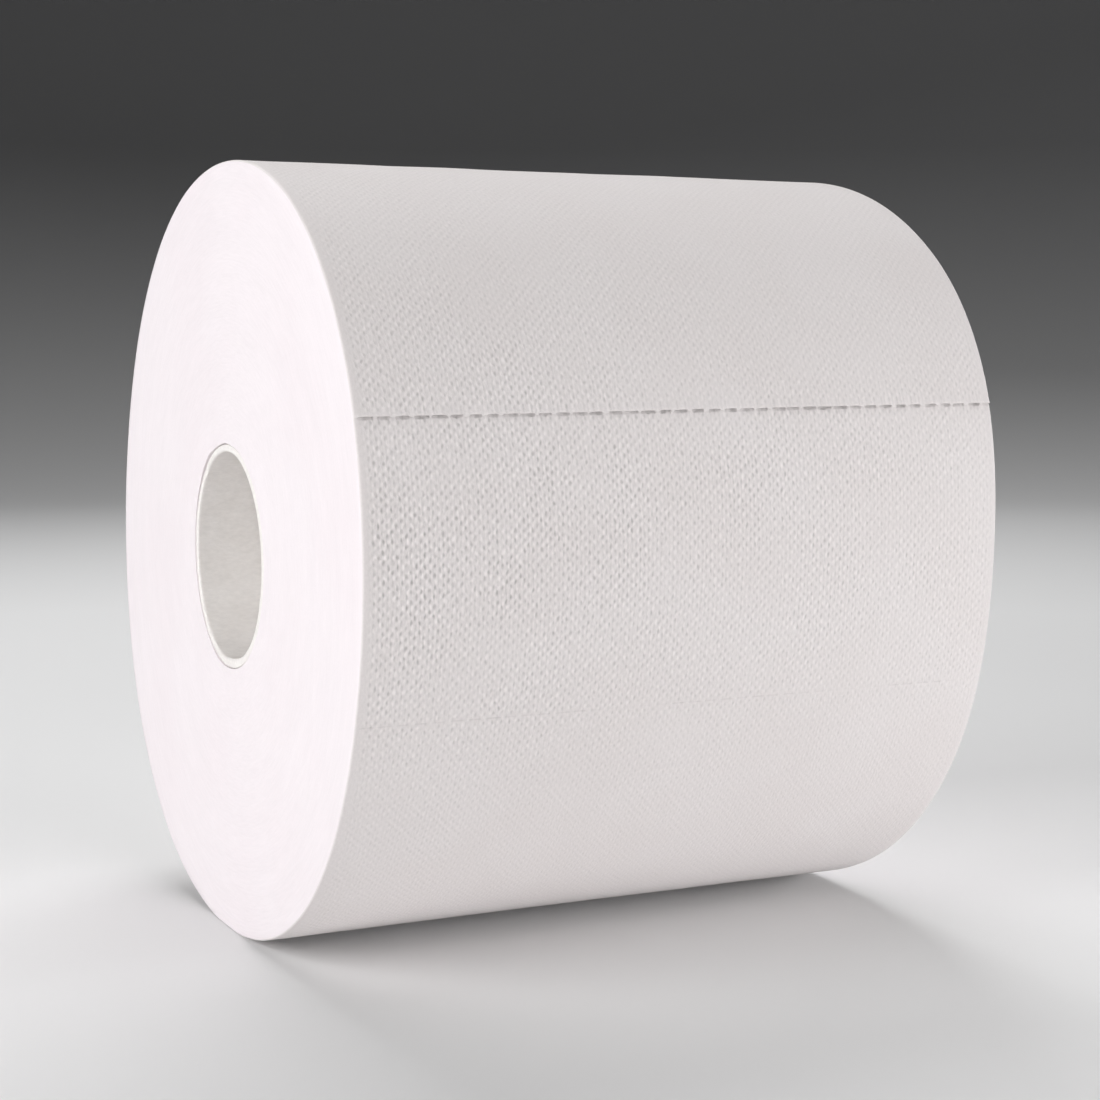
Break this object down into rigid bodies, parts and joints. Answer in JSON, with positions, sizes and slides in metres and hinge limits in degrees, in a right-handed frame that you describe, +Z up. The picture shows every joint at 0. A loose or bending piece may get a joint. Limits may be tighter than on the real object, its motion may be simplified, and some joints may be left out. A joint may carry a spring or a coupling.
{
  "type": "paper towel roll",
  "caption": "Large perforated paper towel roll wound on a pale paperboard core, lying on its side, with a loose tail edge and flat cut ends.",
  "frame": {"origin": "on the surface that the roll lies on, inside its flat spot, under the middle of the turns and halfway along the roll", "axes": "+X along the core, +Z up, and the free edge of the paper faces -Y"},
  "size_m": [0.22, 0.2575, 0.257],
  "materials": {
    "towel_paper": "matte, embossed",
    "core_board": "matte"
  },
  "bodies": {
    "root": {"towel_web": "towel_paper", "core_tube": "core_board"}
  },
  "joints": []
}
